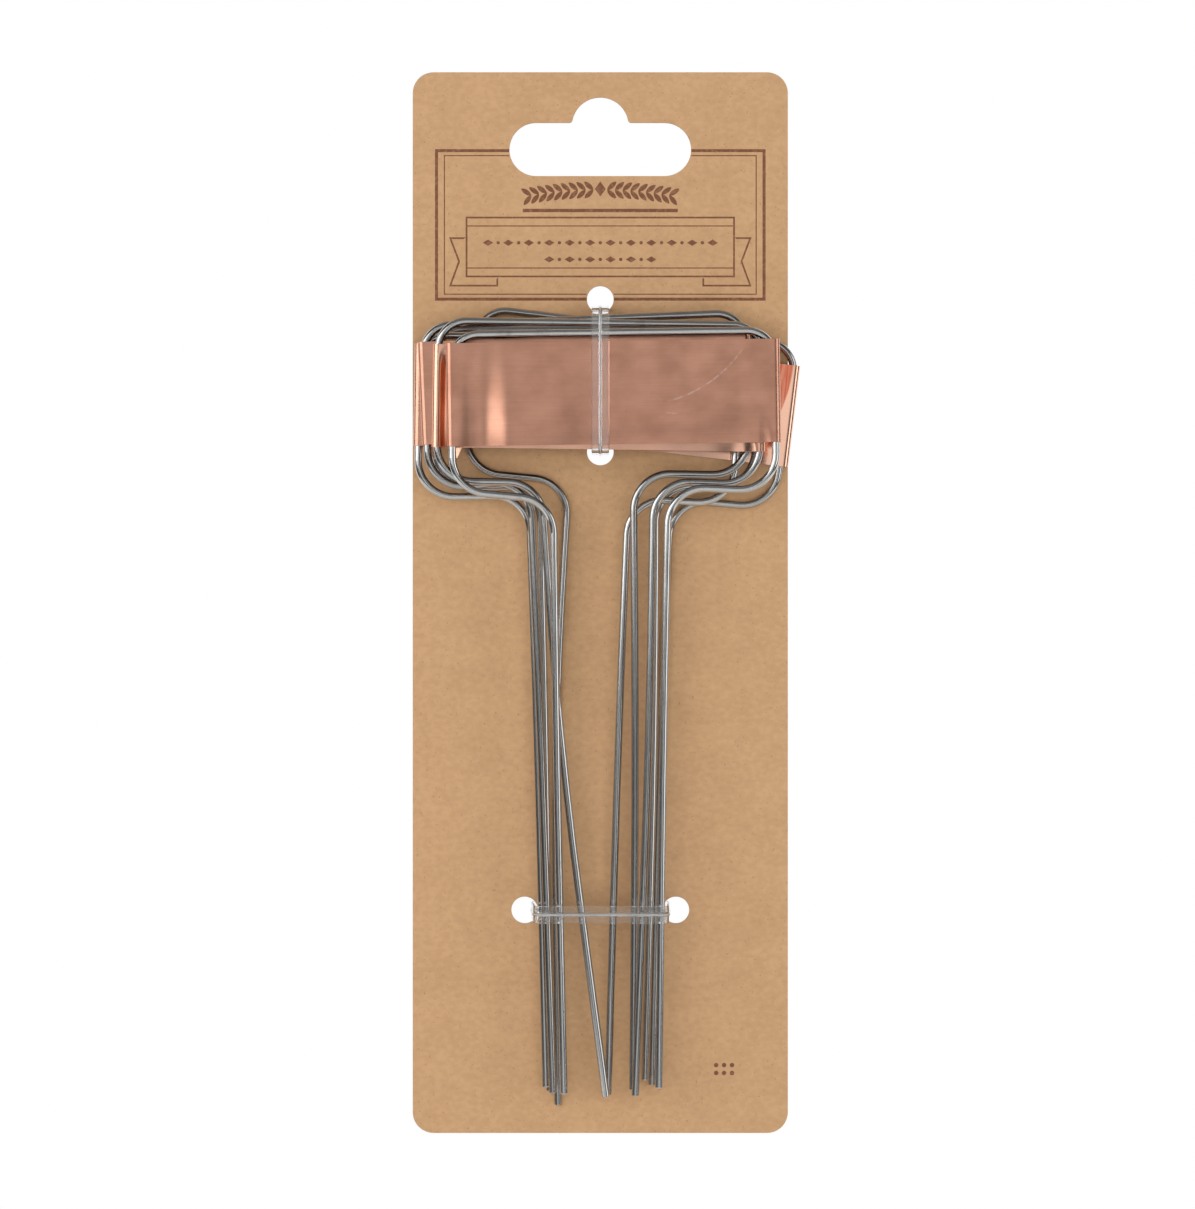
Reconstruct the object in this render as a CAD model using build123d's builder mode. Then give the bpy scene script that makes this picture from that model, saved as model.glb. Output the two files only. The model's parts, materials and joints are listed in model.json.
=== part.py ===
"""Six copper plant markers on a hanging card.

The frame is in millimetres, +Z up, and the card's front faces -Y. The origin is the hanging point, at the
top of the slot's half-round notch and in the middle of the card's thickness. "Depth" below is the distance
in front of the card's front face.
"""

import os
from math import acos, cos, pi, radians, sin, sqrt, tan
from typing import NamedTuple

from build123d import *

# Backing card with its hanging slot and the four holes that the ties pass through
card_width = 90.0
card_height = 254.5
card_thickness = 0.8
card_corner_radius = 5.0
card_top_margin = 6.0
slot_width = 43.6
slot_height = 12.8
slot_drop = 12.5
notch_radius = 6.8
notch_corner_radius = 0.8
tie_hole_diameter = 6.4

# Stake, bent from one length of steel wire
wire_diameter = 1.8
frame_width = 76.4
frame_height = 37.8
leg_spacing = 27.4
top_corner_radius = 6.6
low_corner_radius = 8.6
leg_bend_radius = 8.6
tip_chamfer = 0.25
leg_bow_place = 0.4
leg_bow_share = 0.7

# Copper label, a strip whose ends are folded round the wire's uprights
label_height = 24.4
sheet_thickness = 0.2
hem_clearance = 0.15
hem_pocket = 4.2
hem_slope = 2.4
hem_tail = 2.0
hem_tail_gap = 0.05
hem_bend_share = 0.96
hem_slope_radius = 0.7

# Six stakes lie one on the other, and their tips are drawn closer to the card
stack_gap = 0.1
tip_gap = 0.3
tip_first_gap = 0.15

# Clear tie, a flat ribbon with a rib over its wire core, twisted together behind the card
ribbon_width = 4.1
ribbon_thickness = 0.5
ribbon_edge_radius = 0.22
rib_diameter = 1.0
core_diameter = 0.5
core_bore_clearance = 0.04
tie_gap = 0.15
tie_bend_radius = 1.7
tie_hole_slack = 0.4
tie_lift_radius = 3.0
tie_lift_length = 7.0
tie_join_gap = 0.8
twist_length = 13.0
twist_turns = 2.5
twist_spread = 0.35
upper_top_hole_rise = 3.7
upper_bottom_hole_rise = 0.6
lower_hole_lead = 2.2
lower_tie_drop = 195.0


class Leg(NamedTuple):
    """How far a leg's corner and bend are shifted, where its tip lies on the card, and its sideways bow."""

    corner_across: float
    corner_up: float
    bend_across: float
    bend_up: float
    tip_across: float
    tip_up: float
    bow: float


class Lie(NamedTuple):
    """How a stake lies: the middle of its top bar, its turn, its two legs and its label's drop."""

    across: float
    up: float
    turn: float
    left: Leg
    right: Leg
    label_drop: float


# From the front of the stack to its back
lies = (
    Lie(2.87, -57.39, 0.8, Leg(0.0, 0.9, -0.8, -1.7, -8.61, -237.65, -0.4),
        Leg(0.0, -0.3, -1.0, 1.1, 13.9, -236.23, -0.3), 2.1),
    Lie(-0.08, -55.0, -0.8, Leg(0.0, -0.2, 0.4, -0.2, 1.35, -238.64, -2.4),
        Leg(0.0, 0.0, -0.5, 0.6, 8.3, -238.4, 0.9), 5.6),
    Lie(-4.12, -53.98, 2.4, Leg(0.0, -1.4, -0.5, 0.6, -11.26, -237.96, 0.4),
        Leg(0.0, -0.9, -3.3, 0.8, 7.78, -237.25, 0.7), 3.8),
    Lie(-4.72, -58.07, -0.8, Leg(0.0, -0.8, 1.9, -0.1, -12.96, -236.8, 0.4),
        Leg(-1.3, -1.5, -1.8, -0.3, 1.83, -238.71, -0.5), 2.0),
    Lie(-1.27, -55.85, 0.2, Leg(0.0, 0.0, 0.3, 0.3, -12.03, -238.03, 0.4),
        Leg(0.0, 0.0, 0.7, 0.3, 10.69, -235.4, 0.8), 3.9),
    Lie(9.27, -55.18, -6.8, Leg(0.6, -1.4, 1.45, -0.9, -10.14, -241.66, -2.7),
        Leg(-1.2, -1.5, -1.2, -2.2, 12.39, -236.87, -0.8), 4.8),
)

card_front = -card_thickness / 2
card_back = card_thickness / 2
card_top = card_top_margin
card_middle = card_top - card_height / 2
wire_radius = wire_diameter / 2
hem_middle = wire_radius + hem_clearance + sheet_thickness / 2
hem_outside = hem_middle + sheet_thickness / 2
layer_pitch = 2 * hem_outside + stack_gap
tip_pitch = wire_diameter + tip_gap
rib_radius = rib_diameter / 2
layers = len(lies)


def head_depth(place):
    """Depth of the wire's centre line in the head of the stake at this place, 0 being the front."""
    return stack_gap + hem_outside + layer_pitch * (layers - 1 - place)


def tip_depth(place):
    """Depth of the wire's centre line at the tips of the stake at this place."""
    return tip_first_gap + wire_radius + tip_pitch * (layers - 1 - place)


def in_stake(lie, across, up, depth):
    """A point given in the stake's own turned axes, from the middle of its top bar."""
    turn = radians(lie.turn)
    x = lie.across + across * cos(turn) - up * sin(turn)
    z = lie.up + across * sin(turn) + up * cos(turn)
    return Vector(x, card_front - depth, z)


def bow_radius(start, middle, end):
    """Radius that spreads the small turn at the middle point over most of the shorter run."""
    first = start - middle
    second = end - middle
    turn = pi - acos(max(-1.0, min(1.0, first.dot(second) / first.length / second.length)))
    return leg_bow_share * min(first.length, second.length) / tan(turn / 2)


def leg_points(lie, leg, side, place):
    """The bend, the bowed middle and the tip of one leg. The side is -1 for left and 1 for right."""
    across = side * leg_spacing / 2 + leg.bend_across
    bend = in_stake(lie, across, leg.bend_up - frame_height, head_depth(place))
    tip = Vector(leg.tip_across, card_front - tip_depth(place), leg.tip_up)
    middle = bend + (tip - bend) * leg_bow_place + Vector(leg.bow, 0, 0)
    return bend, middle, tip


def make_stake(lie, place):
    """One wire from tip to tip: leg, shoulder, upright, top bar, upright, shoulder, leg."""
    half = frame_width / 2
    left_bend, left_middle, left_tip = leg_points(lie, lie.left, -1, place)
    right_bend, right_middle, right_tip = leg_points(lie, lie.right, 1, place)
    corners = [
        in_stake(lie, across, up, head_depth(place))
        for across, up in (
            (lie.left.corner_across - half, lie.left.corner_up - frame_height),
            (-half, 0),
            (half, 0),
            (lie.right.corner_across + half, lie.right.corner_up - frame_height),
        )
    ]
    points = [left_tip, left_middle, left_bend, *corners, right_bend, right_middle, right_tip]
    radii = [
        bow_radius(left_tip, left_middle, left_bend),
        leg_bend_radius,
        low_corner_radius,
        top_corner_radius,
        top_corner_radius,
        low_corner_radius,
        leg_bend_radius,
        bow_radius(right_bend, right_middle, right_tip),
    ]
    with BuildPart() as stake:
        with BuildLine() as run:
            FilletPolyline(*points, radius=radii)
        with BuildSketch(Plane(origin=run.line @ 0, z_dir=run.line % 0)):
            Circle(wire_radius)
        sweep(path=run.line)
        chamfer(stake.faces().filter_by(GeomType.PLANE).edges(), tip_chamfer)
    return stake.part


def make_label(lie, place):
    """The copper strip, drawn as its middle line seen from above and drawn up to its height.

    Each end goes round the outside of its upright, back behind it, and down to the strip's own back.
    """
    turn = radians(lie.turn)
    foot = in_stake(lie, 0, -lie.label_drop - label_height, head_depth(place))
    across = Vector(cos(turn), 0, sin(turn))
    up = Vector(-sin(turn), 0, cos(turn))
    edge = frame_width / 2
    tail_level = -hem_middle + sheet_thickness + hem_tail_gap
    pocket_end = edge - hem_pocket
    slope_end = pocket_end - hem_slope
    tail_end = slope_end - hem_tail
    right = [
        (edge + hem_middle, -hem_middle),
        (edge + hem_middle, hem_middle),
        (pocket_end, hem_middle),
        (slope_end, tail_level),
        (tail_end, tail_level),
    ]
    left = [(-x, y) for x, y in reversed(right)]
    bend = hem_bend_share * hem_middle
    with BuildPart() as label:
        with BuildSketch(Plane(origin=foot, x_dir=across, z_dir=up)):
            with BuildLine():
                FilletPolyline(
                    *left,
                    *right,
                    radius=[hem_slope_radius] * 2 + [bend] * 4 + [hem_slope_radius] * 2,
                )
            trace(line_width=sheet_thickness)
        extrude(amount=label_height)
    return label.part


def wire_at(lie, leg, side, place, height):
    """Where a leg crosses a height, as across and depth."""
    bend, middle, tip = leg_points(lie, leg, side, place)
    start, end = (bend, middle) if height > middle.Z else (middle, tip)
    point = start + (end - start) * ((start.Z - height) / (start.Z - end.Z))
    return point.X, card_front - point.Y


def label_foot(lie):
    """Lowest height of a label's lower edge within the tie's width."""
    middle = in_stake(lie, 0, -lie.label_drop - label_height, 0)
    slope = tan(radians(lie.turn))
    sides = (-ribbon_width / 2, ribbon_width / 2)
    return min(middle.Z + (side - middle.X) * slope for side in sides)


def bar_top(lie):
    """Highest height of a stake's top bar within the tie's width."""
    slope = tan(radians(lie.turn))
    sides = (-ribbon_width / 2, ribbon_width / 2)
    return max(lie.up + (side - lie.across) * slope for side in sides) + wire_radius


def make_tie(points, radii, twist_start, twist_direction, section_across):
    """A ribbon swept round its loop, its two ends twisted together, and the wire core in its rib."""
    with BuildLine() as loop:
        FilletPolyline(*points, radius=radii)
    start = Plane(origin=loop.line @ 0, x_dir=section_across, z_dir=loop.line % 0)
    with BuildSketch(Plane(origin=twist_start, x_dir=(0, 1, 0), z_dir=twist_direction)) as pair:
        with Locations((0, -twist_spread), (0, twist_spread)):
            RectangleRounded(ribbon_width, ribbon_thickness, ribbon_edge_radius)
            Circle(rib_radius)
    twist = Solid.extrude_linear_with_rotation(
        pair.sketch.faces()[0],
        twist_start,
        Vector(*twist_direction) * twist_length,
        360 * twist_turns,
    )
    with BuildPart() as core:
        with BuildSketch(start):
            Circle(core_diameter / 2)
        sweep(path=loop.line)
    with BuildPart() as ribbon:
        with BuildSketch(start):
            RectangleRounded(ribbon_width, ribbon_thickness, ribbon_edge_radius)
            Circle(rib_radius)
        sweep(path=loop.line)
        add(twist)
        with BuildSketch(start):
            Circle(core_diameter / 2 + core_bore_clearance)
        sweep(path=loop.line, mode=Mode.SUBTRACT)
    return ribbon.part, core.part


ribbon_reach = tie_gap + rib_radius
back_run = -card_thickness - ribbon_reach
twist_run = -card_thickness - tie_gap - ribbon_width / 2 - twist_spread
hole_reach = sqrt((tie_hole_diameter / 2) ** 2 - (ribbon_width / 2 + tie_gap) ** 2)
hole_run = hole_reach - ribbon_thickness / 2 - tie_hole_slack

# The upper tie goes over the top bars, down the front label and under the labels
upper_front = head_depth(0) + hem_outside + ribbon_reach
upper_top = max(bar_top(lie) for lie in lies) + ribbon_reach
upper_bottom = min(label_foot(lie) for lie in lies) - ribbon_reach
upper_top_hole = upper_top + upper_top_hole_rise
upper_bottom_hole = upper_bottom + upper_bottom_hole_rise
upper_middle = (upper_top_hole + upper_bottom_hole) / 2

# The lower tie goes across in front of the legs
crossings = [
    wire_at(lie, leg, side, place, -lower_tie_drop)
    for place, lie in enumerate(lies)
    for side, leg in ((-1, lie.left), (1, lie.right))
]
lower_front = max(depth for across, depth in crossings) + wire_radius + ribbon_reach
lower_left = min(across for across, depth in crossings) - wire_radius - ribbon_reach
lower_right = max(across for across, depth in crossings) + wire_radius + ribbon_reach
lower_hole = max(-lower_left, lower_right) + lower_hole_lead
lower_corner_radius = wire_radius + ribbon_reach

with BuildPart() as card:
    with BuildSketch(Plane.XZ.offset(-card_back)):
        with Locations((0, card_middle)):
            RectangleRounded(card_width, card_height, card_corner_radius)
        with BuildSketch(mode=Mode.SUBTRACT) as slot:
            with Locations((0, -slot_drop)):
                SlotOverall(slot_width, slot_height)
            with Locations((0, -notch_radius)):
                Circle(notch_radius)
            fillet(slot.vertices().sort_by(SortBy.DISTANCE)[:2], notch_corner_radius)
        with Locations((0, upper_top_hole), (0, upper_bottom_hole)):
            Circle(tie_hole_diameter / 2, mode=Mode.SUBTRACT)
        with Locations((-lower_hole, -lower_tie_drop), (lower_hole, -lower_tie_drop)):
            Circle(tie_hole_diameter / 2, mode=Mode.SUBTRACT)
    extrude(amount=card_thickness)
card.part.label = "backing_card"

stakes = [make_stake(lie, place) for place, lie in enumerate(lies)]
labels = [make_label(lie, place) for place, lie in enumerate(lies)]

upper_loop = [
    (twist_run, upper_middle + tie_join_gap / 2),
    (back_run, upper_middle + tie_lift_length),
    (back_run, upper_top_hole - hole_run),
    (upper_front, upper_top),
    (upper_front, upper_bottom),
    (back_run, upper_bottom),
    (back_run, upper_middle - tie_lift_length),
    (twist_run, upper_middle - tie_join_gap / 2),
]
upper_tie, upper_core = make_tie(
    [Vector(0, card_front - depth, up) for depth, up in upper_loop],
    [tie_lift_radius] + [tie_bend_radius] * 4 + [tie_lift_radius],
    Vector(0, card_front - twist_run, upper_middle),
    (1, 0, 0),
    (1, 0, 0),
)
upper_tie.label = "upper_tie"
upper_core.label = "upper_tie_core"

lower_loop = [
    (-tie_join_gap / 2, twist_run),
    (-tie_lift_length, back_run),
    (-lower_hole + hole_run, back_run),
    (lower_left, lower_front),
    (lower_right, lower_front),
    (lower_hole - hole_run, back_run),
    (tie_lift_length, back_run),
    (tie_join_gap / 2, twist_run),
]
lower_tie, lower_core = make_tie(
    [Vector(across, card_front - depth, -lower_tie_drop) for across, depth in lower_loop],
    [tie_lift_radius, tie_bend_radius]
    + [lower_corner_radius] * 2
    + [tie_bend_radius, tie_lift_radius],
    Vector(0, card_front - twist_run, -lower_tie_drop),
    (0, 0, -1),
    (0, 0, 1),
)
lower_tie.label = "lower_tie"
lower_core.label = "lower_tie_core"

os.makedirs("parts", exist_ok=True)
export_step(card.part, "parts/backing_card.step")
for number, (stake, label) in enumerate(zip(stakes, labels), start=1):
    stake.label = f"stake_wire_{number}"
    label.label = f"label_plate_{number}"
    export_step(stake, f"parts/stake_wire_{number}.step")
    export_step(label, f"parts/label_plate_{number}.step")
export_step(upper_tie, "parts/upper_tie.step")
export_step(upper_core, "parts/upper_tie_core.step")
export_step(lower_tie, "parts/lower_tie.step")
export_step(lower_core, "parts/lower_tie_core.step")
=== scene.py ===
# A carded pack of six plant label stakes: kraft card, steel wires, copper labels and two clear ties.
import json
import math
import bmesh
import bpy
from mathutils import Matrix, Vector, noise


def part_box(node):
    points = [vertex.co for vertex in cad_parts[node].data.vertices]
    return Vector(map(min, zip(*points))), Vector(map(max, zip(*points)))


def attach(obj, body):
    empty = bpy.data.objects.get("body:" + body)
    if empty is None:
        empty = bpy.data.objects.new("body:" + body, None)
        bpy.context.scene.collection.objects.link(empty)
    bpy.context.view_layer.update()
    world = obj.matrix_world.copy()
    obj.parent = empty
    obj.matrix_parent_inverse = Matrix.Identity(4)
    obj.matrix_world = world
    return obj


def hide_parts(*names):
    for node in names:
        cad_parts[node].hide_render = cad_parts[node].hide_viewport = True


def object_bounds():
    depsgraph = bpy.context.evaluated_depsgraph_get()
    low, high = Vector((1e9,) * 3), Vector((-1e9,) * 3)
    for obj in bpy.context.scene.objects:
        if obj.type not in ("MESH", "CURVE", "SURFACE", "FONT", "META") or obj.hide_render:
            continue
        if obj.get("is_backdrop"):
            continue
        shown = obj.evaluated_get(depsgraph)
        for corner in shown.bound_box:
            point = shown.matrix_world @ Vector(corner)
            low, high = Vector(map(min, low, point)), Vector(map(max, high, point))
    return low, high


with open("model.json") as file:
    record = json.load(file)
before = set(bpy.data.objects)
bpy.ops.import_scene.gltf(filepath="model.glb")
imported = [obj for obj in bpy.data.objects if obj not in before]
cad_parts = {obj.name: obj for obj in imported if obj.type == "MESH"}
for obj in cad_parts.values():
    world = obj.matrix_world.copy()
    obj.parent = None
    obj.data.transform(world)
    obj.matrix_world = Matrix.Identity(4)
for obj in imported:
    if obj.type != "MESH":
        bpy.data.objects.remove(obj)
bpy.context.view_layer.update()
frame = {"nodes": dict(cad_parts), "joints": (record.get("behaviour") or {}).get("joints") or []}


# Backing card: a sheet of brown kraft board, die-cut with a hanging slot and four tie holes.
# The pulp is unevenly coloured, with short fibres and dark specks, and its cut edge shows the plies.
mm = 0.001


def screen_colour(red, green, blue):
    """A colour as it looks on a screen, in parts of 255, as the linear colour that a shader takes."""
    linear = []
    for part in (red, green, blue):
        share = part / 255
        linear.append(share / 12.92 if share <= 0.04045 else ((share + 0.055) / 1.055) ** 2.4)
    return (*linear, 1.0)


class Shade:
    """One output of a material's nodes. Arithmetic on it adds Math nodes, and node() adds any other."""

    def __init__(self, tree, socket):
        self.tree = tree
        self.socket = socket

    def node(self, kind, settings, sockets, output=0):
        """The output of a new node: its settings come first, then its sockets' values or links."""
        made = self.tree.nodes.new(kind)
        for name, value in settings.items():
            setattr(made, name, value)
        for name, value in sockets.items():
            if isinstance(value, Shade):
                self.tree.links.new(value.socket, made.inputs[name])
            else:
                made.inputs[name].default_value = value
        return Shade(self.tree, made.outputs[output])

    def feed(self, shader, name):
        self.tree.links.new(self.socket, shader.inputs[name])

    def math(self, operation, first, second):
        return self.node("ShaderNodeMath", {"operation": operation}, {0: first, 1: second})

    def vector(self, operation, other):
        return self.node("ShaderNodeVectorMath", {"operation": operation}, {0: self, 1: other})

    def length(self):
        return self.node("ShaderNodeVectorMath", {"operation": "LENGTH"}, {0: self}, "Value")

    def part(self, axis):
        return self.node("ShaderNodeSeparateXYZ", {}, {"Vector": self}, axis)

    def __abs__(self):
        return self.node("ShaderNodeMath", {"operation": "ABSOLUTE"}, {0: self})

    def __add__(self, other):
        return self.math("ADD", self, other)

    def __radd__(self, other):
        return self.math("ADD", other, self)

    def __sub__(self, other):
        return self.math("SUBTRACT", self, other)

    def __rsub__(self, other):
        return self.math("SUBTRACT", other, self)

    def __mul__(self, other):
        return self.math("MULTIPLY", self, other)

    def __rmul__(self, other):
        return self.math("MULTIPLY", other, self)


def new_finish(name, **constants):
    """A new material, its Principled shader with constants set, and the place on the piece in mm."""
    finish = bpy.data.materials.new(name)
    finish.use_nodes = True
    tree = finish.node_tree
    shader = tree.nodes["Principled BSDF"]
    for socket, value in constants.items():
        shader.inputs[socket.replace("_", " ").title().replace("Ior", "IOR")].default_value = value
    coordinates = tree.nodes.new("ShaderNodeTexCoord")
    metres = Shade(tree, coordinates.outputs["Object"])
    place = metres.node("ShaderNodeVectorMath", {"operation": "SCALE"}, {0: metres, "Scale": 1 / mm})
    return finish, shader, place


def settle(place, origin, turn, size=(1, 1, 1)):
    """The place as seen from an origin, along axes turned about y by an angle and in parts of a size."""
    sockets = {"Vector": place, "Location": origin, "Rotation": (0, turn, 0), "Scale": size}
    return place.node("ShaderNodeMapping", {"vector_type": "TEXTURE"}, sockets)


def clouds(place, size, turn=0.0, detail=2.0, shift=0.0):
    """Soft noise about 0.5 with patches of a size in mm along x, y and z, turned about y by an angle."""
    settled = settle(place, (shift, shift, shift), turn, size)
    return place.node("ShaderNodeTexNoise", {}, {"Vector": settled, "Scale": 1.0, "Detail": detail})


def step(value, low, high, start=0.0, end=1.0):
    """A value smoothed into steps: start up to low, end from high on."""
    limits = {"From Min": low, "From Max": high, "To Min": start, "To Max": end}
    return value.node("ShaderNodeMapRange", {"interpolation_type": "SMOOTHSTEP"}, {"Value": value, **limits})


def tint(share, first, second):
    """The first colour, going over to the second as the share goes from 0 to 1."""
    return share.node("ShaderNodeMix", {"data_type": "RGBA"}, {0: share, 6: first, 7: second}, 2)


def relief(height, strength, depth):
    """Bump of that height field, for a shader's Normal."""
    return height.node("ShaderNodeBump", {}, {"Height": height, "Strength": strength, "Distance": depth})


def dress(node_name, finish):
    """Gives a CAD node its one material."""
    mesh = frame["nodes"][node_name].data
    mesh.materials.clear()
    mesh.materials.append(finish)


kraft_dark = screen_colour(189, 149, 110)
kraft_light = screen_colour(207, 166, 124)
kraft_pale = screen_colour(216, 177, 135)
speck_brown = screen_colour(120, 84, 56)
ply_pale = screen_colour(190, 156, 120)
card_low, card_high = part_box("backing_card")
card_front = card_low.y
half_card = (card_high.y - card_low.y) / 2 / mm
ply_pitch = 0.2
skin_start = half_card - 0.05
skin_full = half_card - 0.02

kraft, shader, place = new_finish("kraft_board", roughness=0.88, specular_ior_level=0.25)
broad = clouds(place, (11, 11, 8), detail=3)
mottle = clouds(place, (1.6, 1.6, 1.2), detail=3, shift=20)
level_fibres = clouds(place, (2.4, 0.3, 0.13), turn=0.3, shift=40)
steep_fibres = clouds(place, (0.13, 0.3, 2.0), turn=0.2, shift=60)
specks = clouds(place, (0.45, 0.45, 0.45), detail=0, shift=80)
shade = 0.4 * step(broad, 0.2, 0.8) + 0.6 * step(mottle, 0.2, 0.8)
colour = tint(shade, kraft_dark, kraft_light)
colour = tint(step(level_fibres, 0.62, 0.8, 0.0, 0.4), colour, kraft_pale)
colour = tint(step(steep_fibres, 0.62, 0.8, 0.0, 0.35), colour, kraft_dark)
colour = tint(step(specks, 0.77, 0.84, 0.0, 0.4), colour, speck_brown)
across_plies = place.part("Y")
plies = place.math("PINGPONG", across_plies, ply_pitch / 2)
cut_edge = step(abs(across_plies), skin_start, skin_full, 1.0, 0.0)
colour = tint(cut_edge * step(plies, 0.02, 0.07, 0.0, 0.7), colour, ply_pale)
colour.feed(shader, "Base Color")
grain = clouds(place, (0.35, 0.35, 0.35), detail=4, shift=100)
relief(grain + 0.8 * level_fibres + 0.8 * mottle, 0.35, 0.06 * mm).feed(shader, "Normal")
dress("backing_card", kraft)


# Print: one dark brown ink laid on the front of the card before it was die-cut, in lines that stop at
# the slot and the tie hole. A double frame, a rule and a ribbon hold leaf and lozenge ornament.
ink_brown = screen_colour(122, 80, 58)
ink_thin = screen_colour(148, 104, 75)
ink_sunk = 0.01 * mm
ink_stands = 0.02 * mm
frame_side = 39.65 * mm
frame_top = -12.45 * mm
frame_foot = -48.8 * mm
thick_line = 0.72 * mm
thin_line = 0.26 * mm
frame_space = 1.4 * mm
slot_reach = 21.85 * mm
hole_reach = 3.25 * mm
ribbon_line = 0.42 * mm
ribbon_side = 32.3 * mm
ribbon_top = -28.65 * mm
ribbon_foot = -43.2 * mm
ribbon_seam = 2.1 * mm
tail_top = -33.6 * mm
tail_reach = 36.3 * mm
tail_notch = (34.1 * mm, -39.4 * mm)
tail_foot = -45.4 * mm
tail_fold = 24.5 * mm


def outline(ink, corners, width, open_sides=()):
    """A line of even width just inside a closed run of corners, without the sides whose numbers are open."""
    ring = [ink.verts.new((across, 0, up)) for across, up in corners]
    field = ink.faces.new(ring)
    field.normal_update()
    sides = bmesh.ops.inset_region(
        ink, faces=[field], thickness=width, use_boundary=True, use_even_offset=True
    )["faces"]
    dropped = [field]
    for number in open_sides:
        ends = {ring[number], ring[(number + 1) % len(ring)]}
        dropped += [side for side in sides if ends <= set(side.verts)]
    bmesh.ops.delete(ink, geom=dropped, context="FACES")


def rectangle(left, right, foot, top):
    return [(left, foot), (right, foot), (right, top), (left, top)]


def patch(ink, corners):
    """A filled shape."""
    ink.faces.new([ink.verts.new((across, 0, up)) for across, up in corners])


def leaf(ink, root, angle, length, width):
    """A pointed leaf from its root, as a filled shape of two arcs."""
    blade = bmesh.ops.create_circle(ink, cap_ends=True, radius=1, segments=20)["verts"]
    for vert in blade:
        along, aside = vert.co.x, vert.co.y
        vert.co = (length * (1 + along) / 2, 0, width / 2 * aside * math.sqrt(abs(aside)))
    bmesh.ops.rotate(ink, verts=blade, cent=(0, 0, 0), matrix=Matrix.Rotation(-angle, 3, "Y"))
    bmesh.ops.translate(ink, verts=blade, vec=(root[0], 0, root[1]))


def lozenge(ink, centre, width, height):
    """A filled rhomb about its centre."""
    across, up = centre
    left, right = (across - width / 2, up), (across + width / 2, up)
    foot, top = (across, up - height / 2), (across, up + height / 2)
    patch(ink, [left, foot, right, top])


def dot(ink, centre, radius):
    """A filled circle about its centre."""
    turned = Matrix.Translation((centre[0], 0, centre[1])) @ Matrix.Rotation(math.pi / 2, 4, "X")
    bmesh.ops.create_circle(ink, cap_ends=True, radius=radius, segments=14, matrix=turned)


ink = bmesh.new()
outline(ink, rectangle(-frame_side, frame_side, frame_foot, frame_top), thick_line)
inner_side = frame_side - thick_line - frame_space
inner_foot = frame_foot + thick_line + frame_space / 2
inner_top = frame_top - thick_line - frame_space / 2
outline(ink, rectangle(-inner_side, inner_side, inner_foot, inner_top), thin_line)
for limit in (-slot_reach, -hole_reach, hole_reach, slot_reach):
    everything = ink.verts[:] + ink.edges[:] + ink.faces[:]
    bmesh.ops.bisect_plane(ink, geom=everything, plane_co=(limit, 0, 0), plane_no=(1, 0, 0))
frame_middle = (frame_top + frame_foot) / 2
punched = []
for face in ink.faces:
    middle = face.calc_center_median()
    reach = slot_reach if middle.z > frame_middle else hole_reach
    if abs(middle.x) < reach:
        punched.append(face)
bmesh.ops.delete(ink, geom=punched, context="FACES")

ribbon_corners = rectangle(-ribbon_side, ribbon_side, ribbon_foot, ribbon_top)
outline(ink, ribbon_corners, ribbon_line)
for edge in (ribbon_top - ribbon_seam, ribbon_foot + ribbon_seam + thin_line):
    inside = ribbon_side - ribbon_line
    patch(ink, rectangle(-inside, inside, edge - thin_line, edge))
for side in (-1, 1):
    tail = [
        (side * ribbon_side, tail_top),
        (side * tail_reach, tail_top),
        (side * tail_notch[0], tail_notch[1]),
        (side * tail_reach, tail_foot),
        (side * tail_fold, tail_foot),
        (side * tail_fold, ribbon_foot),
        (side * ribbon_side, ribbon_foot),
    ]
    outline(ink, tail, ribbon_line, open_sides=(5, 6))

rule_reach = 18.6 * mm
rule_top = -26.76 * mm
rule_height = 0.82 * mm
patch(ink, rectangle(-rule_reach, rule_reach, rule_top - rule_height, rule_top))

sprig_middle = -22.2 * mm
sprig_fall = 1.4 * mm
sprig_reach = 18.2 * mm
leaf_count = 9
leaf_lean = 0.75
leaf_length = 2.9 * mm
leaf_width = 1.15 * mm
first_leaf = 0.9
root_share = 0.92
bud_level = sprig_middle + 0.2 * mm
bud_width = 2.6 * mm
bud_height = 3.6 * mm
lozenge(ink, (0, bud_level), bud_width, bud_height)
for side in (-1, 1):
    for number in range(leaf_count):
        share = (number + first_leaf) / leaf_count
        across = side * sprig_reach * share * root_share
        root = (across, sprig_middle - sprig_fall * share * share)
        fall = -2 * sprig_fall * share / sprig_reach
        for lean in (-leaf_lean, leaf_lean):
            outward = math.atan(fall) + lean
            angle = outward if side > 0 else math.pi - outward
            leaf(ink, root, angle, leaf_length, leaf_width)

# Rows of lozenges and dots in turn: level and how many.
rows = ((-34.9 * mm, 23), (-38.9 * mm, 11))
row_pitch = 2.45 * mm
row_dot = 0.42 * mm
row_lozenge_width = 2.5 * mm
row_lozenge_height = 1.5 * mm
for level, count in rows:
    for number in range(count):
        across = (number - (count - 1) / 2) * row_pitch
        if number % 2:
            dot(ink, (across, level), row_dot)
        else:
            lozenge(ink, (across, level), row_lozenge_width, row_lozenge_height)

pip_corner = (27.8 * mm, -232.2 * mm)
pip_pitch = 1.9 * mm
pip_radius = 0.55 * mm
pip_columns = 3
pip_rows = 2
for column in range(pip_columns):
    for row in range(pip_rows):
        spot = (pip_corner[0] + column * pip_pitch, pip_corner[1] - row * pip_pitch)
        dot(ink, spot, pip_radius)

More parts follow.
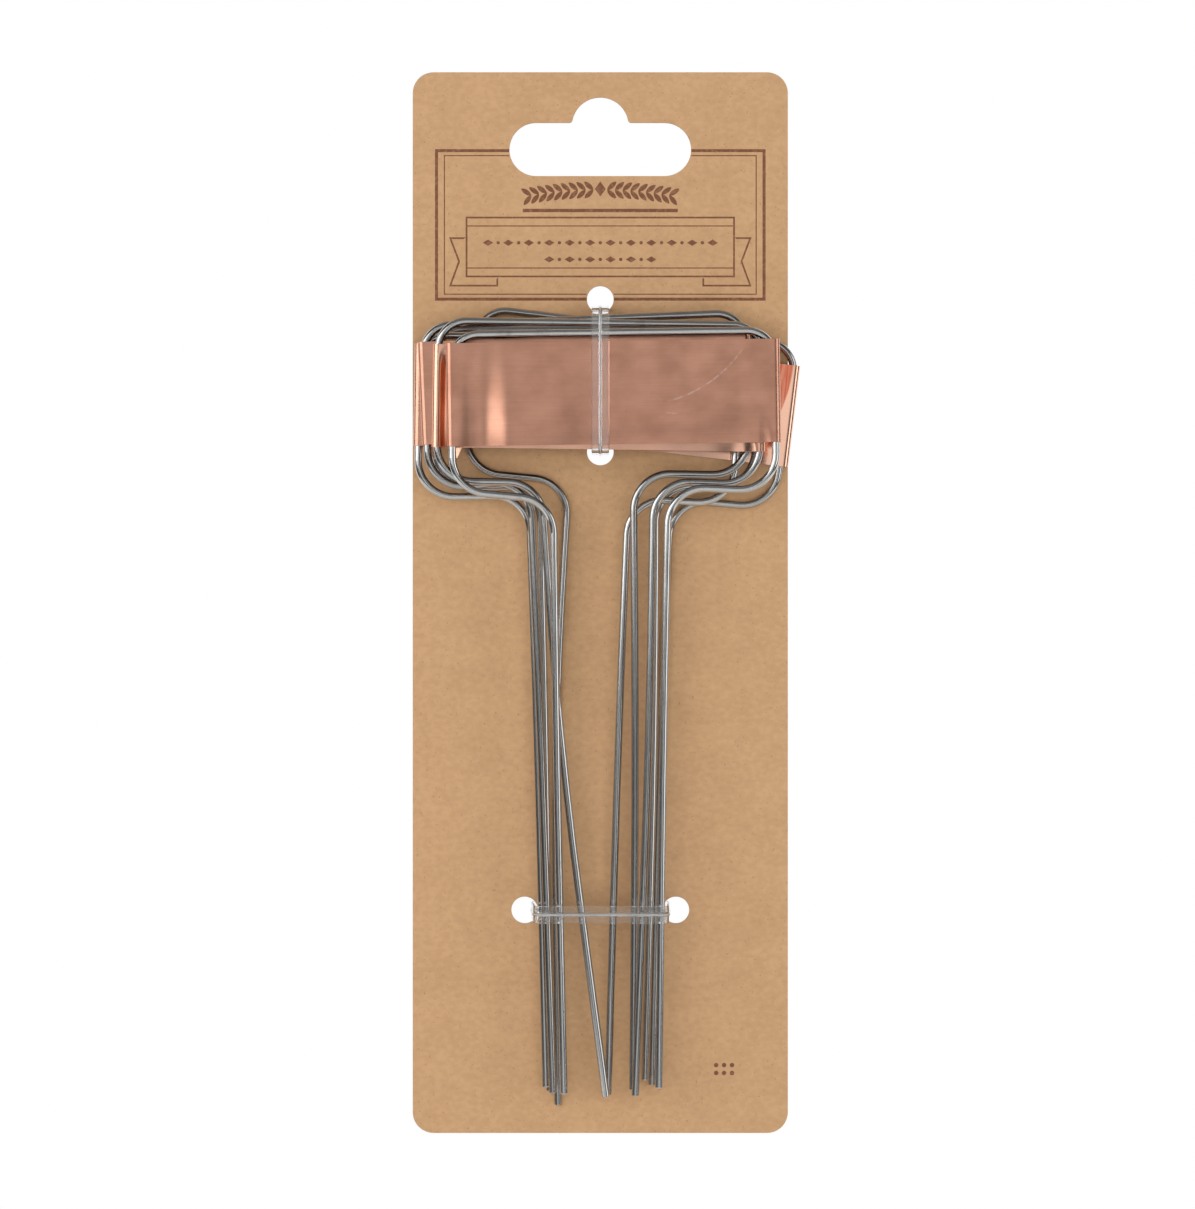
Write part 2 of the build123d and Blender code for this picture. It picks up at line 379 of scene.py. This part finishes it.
bmesh.ops.translate(ink, verts=ink.verts[:], vec=(0, card_front + ink_sunk, 0))
bmesh.ops.recalc_face_normals(ink, faces=ink.faces[:])
for face in ink.faces:
    if face.normal.y > 0:
        face.normal_flip()
raised = bmesh.ops.extrude_face_region(ink, geom=ink.faces[:], use_keep_orig=True)["geom"]
lifted = [part for part in raised if isinstance(part, bmesh.types.BMVert)]
bmesh.ops.translate(ink, verts=lifted, vec=(0, -ink_sunk - ink_stands, 0))
bmesh.ops.recalc_face_normals(ink, faces=ink.faces[:])


def new_thing(name, shape, finish):
    """A finished bmesh as a thing in the scene with one material."""
    mesh = bpy.data.meshes.new(name)
    shape.to_mesh(mesh)
    shape.free()
    mesh.materials.append(finish)
    thing = bpy.data.objects.new(name, mesh)
    bpy.context.scene.collection.objects.link(thing)
    return thing


def new_piece(name, shape, finish, body):
    """A thing that is a piece of the object and moves with a body."""
    piece = new_thing(name, shape, finish)
    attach(piece, body)
    return piece


ink_finish, shader, place = new_finish("brown_ink", roughness=0.75, specular_ior_level=0.3)
worn = clouds(place, (0.7, 0.7, 0.7), detail=3, shift=130)
tint(step(worn, 0.45, 0.75), ink_brown, ink_thin).feed(shader, "Base Color")
new_piece("printed_ornament", ink, ink_finish, "pack")


# Stake wires: six lengths of bare drawn steel, each bent cold into a top bar, two uprights, two
# shoulders and two long legs. Drawing leaves fine streaks along the wire, and handling dulls it.
steel_grey = (0.64, 0.64, 0.63)
stain_brown = (0.30, 0.27, 0.24, 1.0)
wire_tones = (1.1, 0.95, 0.85, 1.05, 0.95, 0.9)
stake_count = len(wire_tones)
streak_shade = 0.86
bend_below_top = 5
bar_below_top = 2.5

for number, tone in enumerate(wire_tones, 1):
    node_name = f"stake_wire_{number}"
    low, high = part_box(node_name)
    steel_light = (*[tone * part for part in steel_grey], 1.0)
    steel_dark = (*[streak_shade * tone * part for part in steel_grey], 1.0)
    steel, shader, place = new_finish(f"drawn_steel_{number}", metallic=1.0)
    drawn_up = clouds(place, (0.14, 0.14, 9), shift=30 * number)
    drawn_across = clouds(place, (9, 0.14, 0.14), shift=30 * number)
    top = high.z / mm
    bar = step(place.part("Z"), top - bend_below_top, top - bar_below_top)
    streaks = drawn_up + bar * (drawn_across - drawn_up)
    handled = clouds(place, (3, 3, 14), detail=3, shift=30 * number + 7)
    colour = tint(step(streaks, 0.3, 0.7), steel_dark, steel_light)
    colour = tint(step(handled, 0.55, 0.8, 0.0, 0.5), colour, stain_brown)
    colour.feed(shader, "Base Color")
    (0.11 + 0.04 * streaks + 0.08 * handled).feed(shader, "Roughness")
    relief(streaks, 0.06, 0.02 * mm).feed(shader, "Normal")
    dress(node_name, steel)


# Copper labels: six strips of thin soft sheet copper, each end folded back round an upright of its
# stake. They slide stiffly on the uprights, and handling has dented, curled and scratched them.
upright_offset = 38.2 * mm
hem_radius = 1.15 * mm
label_height = 24.4 * mm
sheet_thickness = 0.2 * mm
pocket_end = 34.0 * mm
slope_end = 31.6 * mm
tail_end = 29.6 * mm
tail_level = -0.9 * mm
sheet_rows = 28
tail_steps = 2
slope_steps = 4
pocket_steps = 5
hem_steps = 12
end_reach = 7.0 * mm
end_steps = 22
strip_steps = 46
weld = 0.001 * mm


def draw_on(sheet, rim, move, steps):
    """Carries the sheet on from its free rim by a move, in even steps, and gives the new rim."""
    for _ in range(steps):
        grown = bmesh.ops.extrude_edge_only(sheet, edges=rim)["geom"]
        moved = {part for part in grown if isinstance(part, bmesh.types.BMVert)}
        bmesh.ops.translate(sheet, verts=list(moved), vec=Vector(move) / steps)
        edges = [part for part in grown if isinstance(part, bmesh.types.BMEdge)]
        rim = [edge for edge in edges if moved.issuperset(edge.verts)]
    return rim


def hemmed_strip():
    """A flat label strip with both ends folded round its uprights, upright along z and facing -y."""
    sheet = bmesh.new()
    foot = sheet.verts.new((-tail_end, tail_level, -label_height / 2))
    head = sheet.verts.new((-tail_end, tail_level, label_height / 2))
    cut = sheet.edges.new((foot, head))
    bmesh.ops.subdivide_edges(sheet, edges=[cut], cuts=sheet_rows - 1)
    rim = draw_on(sheet, sheet.edges[:], (tail_end - slope_end, 0, 0), tail_steps)
    rim = draw_on(sheet, rim, (slope_end - pocket_end, hem_radius - tail_level, 0), slope_steps)
    rim = draw_on(sheet, rim, (pocket_end - upright_offset, 0, 0), pocket_steps)
    ends = list({vert for edge in rim for vert in edge.verts})
    folded = bmesh.ops.spin(
        sheet,
        geom=ends + rim,
        cent=(-upright_offset, 0, 0),
        axis=(0, 0, 1),
        angle=math.pi,
        steps=hem_steps,
    )["geom_last"]
    rim = [part for part in folded if isinstance(part, bmesh.types.BMEdge)]
    rim = draw_on(sheet, rim, (end_reach, 0, 0), end_steps)
    draw_on(sheet, rim, (upright_offset - end_reach, 0, 0), strip_steps)
    whole = sheet.verts[:] + sheet.edges[:] + sheet.faces[:]
    bmesh.ops.mirror(sheet, geom=whole, matrix=Matrix.Identity(4), merge_dist=weld, axis="X")
    bmesh.ops.remove_doubles(sheet, verts=sheet.verts[:], dist=weld)
    bmesh.ops.recalc_face_normals(sheet, faces=sheet.faces[:])
    return sheet


def ease(share):
    """0 to 1 with level ends."""
    share = min(max(share, 0.0), 1.0)
    return share * share * (3 - 2 * share)


wave_depth = 0.3 * mm
wave_size = 21
dent_depth = 0.06 * mm
dent_size = 7
noise_apart = 40
lean_most = math.radians(0.9)
lean_turn = 2.4
bow_depth = 0.45 * mm
tie_press = 0.2 * mm
bulge_most = 0.05 * mm
tie_press_reach = 7 * mm
flat_from = 29 * mm
flat_to = 36 * mm

# Curled lower edges of a label: place across, half width, height up the sheet and depth, in mm.
curls = {1: [(6, 30, 5, 0.45)], 2: [(0, 60, 7, 0.6)]}
# Creases that run up from a label's lower edge: place across, half width on the left and on the right,
# height up the sheet and depth, in mm. A crease of negative depth is a ridge.
creases_up = {
    1: [(-31.0, 6.0, 4.5, 32, 0.6), (-24.5, 5.0, 22.0, 32, -1.05), (34.0, 12.0, 4.0, 9, 0.9)],
    2: [(34.0, 4.0, 4.0, 8, 1.1)],
}
crease_taper = 1.2
# Hems that stand proud as a roll, by label and end, -1 for the left end and 1 for the right. The face
# dips behind the roll, comes forward where the flap ends, and stays level near the label's top.
rolled_ends = {(2, -1)}
roll_width = 1.9 * mm
dip_depth = 0.8 * mm
dip_from = 3.2 * mm
dip_to = 6.6 * mm
dip_fade = 6.0 * mm
# Right ends painted with a deep orange wedge, wide at the top, as a painted reflection of the copper beside
# them: how far in from the upright it starts and ends there and how far down it goes, in mm, and how fast
# its edge draws in.
painted_reflection_wedges = {6: (0.3, 9.0, 13.0, 0.0135)}
wedge_edge = (-0.1, 0.3)
wedge_end_fade = 4
wedge_foot_fade = 2
front_half = (-0.5, 0.0)
# Corners of the folded flaps that hang below a label: place across, half width and drop, in mm.
flap_corners = {2: [(-33.6, 0.9, 2.8)], 4: [(-35.4, 0.9, 3.6)]}
# Scratches in a label's face, as arcs below their centre: centre, radius, then where the arc starts and
# ends across, in mm.
scratches = {1: [(8.4, -44.3, 30.4, 15, 34.5), (17, -70.0, 6.6, 14.5, 19.5)]}
scratch_edge = (0.08, 0.3)
scratch_taper = 3
edge_wear = 0.05 * mm

copper_fresh = screen_colour(252, 202, 176)
copper_pink = screen_colour(234, 176, 150)
copper_brown = screen_colour(224, 165, 138)
copper_stain = screen_colour(184, 129, 106)
copper_bright = screen_colour(246, 204, 184)
painted_reflection_orange = screen_colour(200, 100, 70)
# How far each label has dulled from fresh copper, the front one most because it is handled most.
tarnish = (1.0, 0.4, 0.9, 0.8, 0.6, 0.1)


def dulled(fresh, dull, share):
    """A colour that share of the way from fresh to dull."""
    return tuple(start + share * (end - start) for start, end in zip(fresh, dull))


def dip(inset):
    """How far the face lies behind the front of its rolled hem, that far in from the upright."""
    return dip_depth * ease(inset / roll_width) * (1 - ease((inset - dip_from) / (dip_to - dip_from)))


slides = {joint["child"]: Vector(joint["axis"]) for joint in frame["joints"]}
for number in range(1, stake_count + 1):
    node_name = f"label_plate_{number}"
    body = f"label_{number}"
    low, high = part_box(node_name)
    centre = (low + high) / 2
    slide = slides[body]
    turn = math.atan2(slide.x, slide.z)
    sheet = hemmed_strip()
    for vert in sheet.verts:
        across, level, up = vert.co
        on_flap = level > (tail_level - hem_radius) / 2 and abs(across) < upright_offset
        above_foot = up + label_height / 2
        loose = 1 - ease((abs(across) - flat_from) / (flat_to - flat_from))
        tie_across = across + centre.x
        pressed = math.exp(-((tie_across / tie_press_reach) ** 2)) if number == 1 else 0.0
        follows = ease((pocket_end - abs(across)) / (pocket_end - slope_end)) if on_flap else 1.0
        held = ease((upright_offset - abs(across)) / (upright_offset - pocket_end))
        spot = Vector((across / mm, up / mm, noise_apart * number))
        wave = wave_depth * noise.noise(spot / wave_size) + dent_depth * noise.noise(spot / dent_size)
        lean = lean_most * math.cos(lean_turn * (number - 1))
        wave += bow_depth * (across / upright_offset) ** 2 - lean * up
        push = follows * (wave * loose * (1 - pressed) + tie_press * pressed)
        for place_across, half_width, curl_height, curl_depth in curls.get(number, []):
            nearness = math.exp(-((across / mm - place_across) / half_width) ** 2)
            bend = max(0.0, 1 - above_foot / mm / curl_height)
            push += follows * held * curl_depth * mm * nearness * bend * bend
        for place_across, left_width, right_width, crease_height, crease_depth in creases_up.get(number, []):
            aside = across / mm - place_across
            half_width = left_width if aside < 0 else right_width
            nearness = math.exp(-((aside / half_width) ** 2))
            fade = max(0.0, 1 - above_foot / mm / crease_height) ** crease_taper
            push += follows * held * (1 - pressed) * crease_depth * mm * nearness * fade
        end = (number, math.copysign(1, across))
        if end in rolled_ends and abs(across) < upright_offset and not on_flap:
            below_top = label_height - above_foot
            push += dip(upright_offset - abs(across)) * ease(below_top / dip_fade)
        vert.co.y += push if number == 1 else max(push, -bulge_most)
        for place_across, half_width, drop in flap_corners.get(number, []):
            nearness = math.exp(-((across / mm - place_across) / half_width) ** 2)
            if on_flap:
                vert.co.z -= drop * mm * nearness * ease(1 - above_foot / label_height * 2)
    for face in sheet.faces:
        face.smooth = True
    bmesh.ops.rotate(sheet, verts=sheet.verts[:], cent=(0, 0, 0), matrix=Matrix.Rotation(turn, 3, "Y"))
    bmesh.ops.translate(sheet, verts=sheet.verts[:], vec=centre)

    copper, shader, place = new_finish(f"sheet_copper_{number}", metallic=1.0)
    rolled = clouds(place, (14, 2, 0.22), turn=turn, detail=3, shift=50 * number)
    smudges = clouds(place, (7, 7, 5), detail=3, shift=50 * number + 9)
    spots = clouds(place, (1.1, 1.1, 1.1), detail=2, shift=50 * number + 17)
    age = tarnish[number - 1]
    pink = dulled(copper_fresh, copper_pink, age)
    brown = dulled(copper_fresh, copper_brown, age)
    colour = tint(step(rolled, 0.15, 0.85), brown, pink)
    colour = tint(step(smudges, 0.3, 0.9, 0.0, 0.5 * age), colour, copper_stain)
    colour = tint(step(spots, 0.7, 0.85, 0.0, 0.3 * age), colour, copper_stain)
    # Painted reflection: a deep orange wedge where this end would mirror the copper of the label beside it.
    if number in painted_reflection_wedges:
        wedge_start, wedge_reach, wedge_foot, wedge_draw = painted_reflection_wedges[number]
        on_label = settle(place, centre / mm, turn)
        inset = upright_offset / mm - on_label.part("X")
        below = label_height / 2 / mm - on_label.part("Z")
        wedge = step(inset - (wedge_start + wedge_draw * below * below), *wedge_edge)
        wedge = wedge * step(inset, wedge_reach - wedge_end_fade, wedge_reach, 1, 0)
        wedge = wedge * step(below, wedge_foot - wedge_foot_fade, wedge_foot, 1, 0)
        wedge = wedge * step(on_label.part("Y"), *front_half, 1, 0)
        streaks = clouds(on_label, (0.4, 2, 8), shift=70)
        colour = tint(wedge * step(streaks, 0.25, 0.75, 0.6, 1.0), colour, painted_reflection_orange)
    dull = 0.1 + 0.13 * age + 0.05 * rolled + 0.1 * age * smudges
    height = rolled
    for arc_x, arc_z, radius, start, end in scratches.get(number, []):
        offset = place.vector("SUBTRACT", (arc_x, 0, arc_z))
        reach = offset.vector("MULTIPLY", (1, 0, 1)).length()
        along = place.part("X")
        stroke = step(abs(reach - radius), *scratch_edge, 1, 0)
        stroke = stroke * step(along, start, start + scratch_taper)
        stroke = stroke * step(along, end - scratch_taper, end, 1, 0)
        stroke = stroke * step(offset.part("Z"), -1, 1, 1, 0)
        stroke = stroke * step(spots, 0.4, 0.6, 0.15, 0.8)
        colour = tint(stroke, colour, copper_bright)
        height = height - 1.5 * stroke
    colour.feed(shader, "Base Color")
    dull.feed(shader, "Roughness")
    relief(height, 0.02, 0.03 * mm).feed(shader, "Normal")

    label = new_piece(f"copper_label_{number}", sheet, copper, body)
    wall = label.modifiers.new("sheet", "SOLIDIFY")
    wall.thickness = sheet_thickness
    wall.offset = 0
    worn_edge = label.modifiers.new("worn_edge", "BEVEL")
    worn_edge.width = edge_wear
    worn_edge.segments = 2
    worn_edge.limit_method = "ANGLE"
    worn_edge.angle_limit = math.radians(60)
    worn_edge.harden_normals = True
    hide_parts(node_name)


# Ties: two lengths of clear plastic ribbon with a rib down the middle that holds a thin steel wire.
# Each goes through a pair of holes, and its ends are twisted together behind the card.
# The rib's wire is coloured near white: partly its pale metal coat, partly a painted highlight for the sheen
# along the rib's crown.
wire_coat_and_sheen_dull = (0.82, 0.82, 0.81, 1.0)
wire_coat_and_sheen_bright = (0.97, 0.97, 0.96, 1.0)
plastic_clear = (0.98, 0.98, 0.98, 1.0)
plastic_hazy = (1.0, 1.0, 1.0, 1.0)
crease_sizes = {"upper": (0.4, 3.0, 3.0), "lower": (3.0, 0.4, 0.4)}
for side, crease_size in crease_sizes.items():
    clear, shader, place = new_finish(f"clear_ribbon_{side}", ior=1.4, transmission_weight=0.97)
    haze = clouds(place, (1.6, 1.6, 1.6), detail=3, shift=11)
    creases = clouds(place, crease_size, detail=2, shift=23)
    tint(haze, plastic_clear, plastic_hazy).feed(shader, "Base Color")
    (0.02 + 0.05 * creases).feed(shader, "Roughness")
    relief(creases, 0.06, 0.1 * mm).feed(shader, "Normal")
    dress(f"{side}_tie", clear)
    # The wire's near-white colour is partly a painted highlight standing in for the rib's sheen.
    bright, shader, place = new_finish(f"tie_wire_{side}", metallic=0.1)
    ripple = step(clouds(place, (5, 5, 5), detail=3, shift=31), 0.3, 0.7)
    tint(ripple, wire_coat_and_sheen_dull, wire_coat_and_sheen_bright).feed(shader, "Base Color")
    (0.4 + 0.15 * ripple).feed(shader, "Roughness")
    dress(f"{side}_tie_core", bright)


# Studio: the pack hangs in front of a white background, above a pale round floor that fades to white.
# Broad soft lamps stand in front, left, right and behind. A grey wall shows in metal and clear plastic only.
def stand(name, shape, finish):
    """A thing of the studio, not of the object."""
    thing = new_thing(name, shape, finish)
    thing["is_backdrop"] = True
    return thing


def looked_at(tree):
    """1 for rays from the camera, a mirror or clear plastic, and 0 for scattered light."""
    path = tree.nodes.new("ShaderNodeLightPath")
    seen = Shade(tree, path.outputs["Is Camera Ray"])
    mirrored = Shade(tree, path.outputs["Is Glossy Ray"])
    through = Shade(tree, path.outputs["Is Transmission Ray"])
    return seen.math("MAXIMUM", seen, seen.math("MAXIMUM", mirrored, through))


floor_level = -0.40
floor_radius = 0.75
fade_from = 0.35 * floor_radius / mm
fade_to = 0.95 * floor_radius / mm
white = (1.0, 1.0, 1.0, 1.0)
floor_pale = screen_colour(238, 237, 234)
floor_finish, shader, place = new_finish("pale_floor", roughness=0.8)
floor_grain = clouds(place, (40, 40, 40))
tint(0.2 * floor_grain, floor_pale, white).feed(shader, "Base Color")
from_centre = place.vector("MULTIPLY", (1, 1, 0)).length()
fade = looked_at(place.tree) * step(from_centre, fade_from, fade_to)
glow = place.node("ShaderNodeEmission", {}, {"Color": white, "Strength": 1.0})
mixed = place.node("ShaderNodeMixShader", {}, {0: fade, 2: glow})
place.tree.links.new(shader.outputs["BSDF"], mixed.socket.node.inputs[1])
place.tree.links.new(mixed.socket, place.tree.nodes["Material Output"].inputs["Surface"])
disc = bmesh.new()
bmesh.ops.create_circle(disc, cap_ends=True, radius=floor_radius, segments=96)
bmesh.ops.translate(disc, verts=disc.verts[:], vec=(0, 0, floor_level))
stand("studio_floor", disc, floor_finish)

wall_dark = (0.19, 0.19, 0.19, 1.0)
wall_pale = (1.0, 1.0, 1.0, 1.0)
wall_low = (0.7, 0.7, 0.7, 1.0)
wall_side = (0.05, 0.05, 0.05, 1.0)
side_from = 700
side_to = 1500
pale_centre = (80, -1700, 50)
low_centre = (0, -1700, -540)
pale_width = 0.55
pale_reach = 80
dark_reach = 300
low_reach = 420
wall_distance = 1.7
wall_half_width = 1.7
wall_foot = -0.9
wall_top = 1.9
wall_depth = 2.2
wall_finish, shader, place = new_finish("grey_wall", roughness=1.0, emission_strength=1.0)
shader.inputs["Base Color"].default_value = (0, 0, 0, 1)
shader.inputs["Specular IOR Level"].default_value = 0
colour = wall_dark
patches = ((pale_centre, wall_pale, dark_reach), (low_centre, wall_low, low_reach))
for patch_centre, patch_colour, patch_reach in patches:
    offset = place.vector("SUBTRACT", patch_centre)
    reach = offset.vector("MULTIPLY", (pale_width, 1, 1)).length()
    colour = tint(step(reach, pale_reach, patch_reach), patch_colour, colour)
colour = tint(step(abs(place.part("X")), side_from, side_to), colour, wall_side)
colour.feed(shader, "Emission Color")
sheet = bmesh.new()
corners = rectangle(-wall_half_width, wall_half_width, wall_foot, wall_top)
front = sheet.faces.new([sheet.verts.new((across, -wall_distance, up)) for across, up in corners])
outer_edges = [edge for edge in front.edges if max(end.co.z for end in edge.verts) > wall_foot]
draw_on(sheet, outer_edges, (0, wall_depth, 0), 1)
grey_wall = stand("grey_wall", sheet, wall_finish)
grey_wall.visible_camera = False
grey_wall.visible_diffuse = False
grey_wall.visible_shadow = False

# Lamps: name, place, power, width and height.
aim = Vector((0, 0, -0.12))
lamps = (
    ("front_lamp", (0.0, -1.4, -0.25), 8.4, 1.2, 0.7),
    ("left_lamp", (-0.80, -0.67, 0.17), 4.8, 1.2, 0.6),
    ("right_lamp", (0.91, -0.52, 0.05), 2.3, 0.6, 0.8),
    ("back_lamp", (0.3, 1.4, 0.1), 11.0, 1.2, 0.9),
)
for name, spot, power, width, height in lamps:
    lamp = bpy.data.lights.new(name, "AREA")
    lamp.shape = "RECTANGLE"
    lamp.size = width
    lamp.size_y = height
    lamp.energy = power
    lamp_stand = bpy.data.objects.new(name, lamp)
    lamp_stand.location = spot
    lamp_stand.rotation_euler = (aim - Vector(spot)).to_track_quat("-Z", "Y").to_euler()
    lamp_stand.visible_camera = False
    if name in ("front_lamp", "back_lamp"):
        lamp_stand.visible_glossy = False
        lamp_stand.visible_transmission = False
    bpy.context.scene.collection.objects.link(lamp_stand)

ambient = 0.29
world = bpy.data.worlds.new("white_room")
bpy.context.scene.world = world
world.use_nodes = True
tree = world.node_tree
background = tree.nodes["Background"]
background.inputs["Color"].default_value = white
(ambient + (1 - ambient) * looked_at(tree)).feed(background, "Strength")

camera_across = -0.67 * mm
camera_level = -121.7 * mm
camera_distance = 0.9
camera_data = bpy.data.cameras.new("camera")
camera_data.sensor_width = 36
camera_data.lens = 111.7
camera_data.clip_start = 0.01
camera = bpy.data.objects.new("camera", camera_data)
camera.location = (camera_across, card_front - camera_distance, camera_level)
camera.rotation_euler = (math.radians(90), 0, 0)
bpy.context.scene.collection.objects.link(camera)
bpy.context.scene.camera = camera
bpy.context.scene.view_settings.view_transform = "Standard"

low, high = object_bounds()
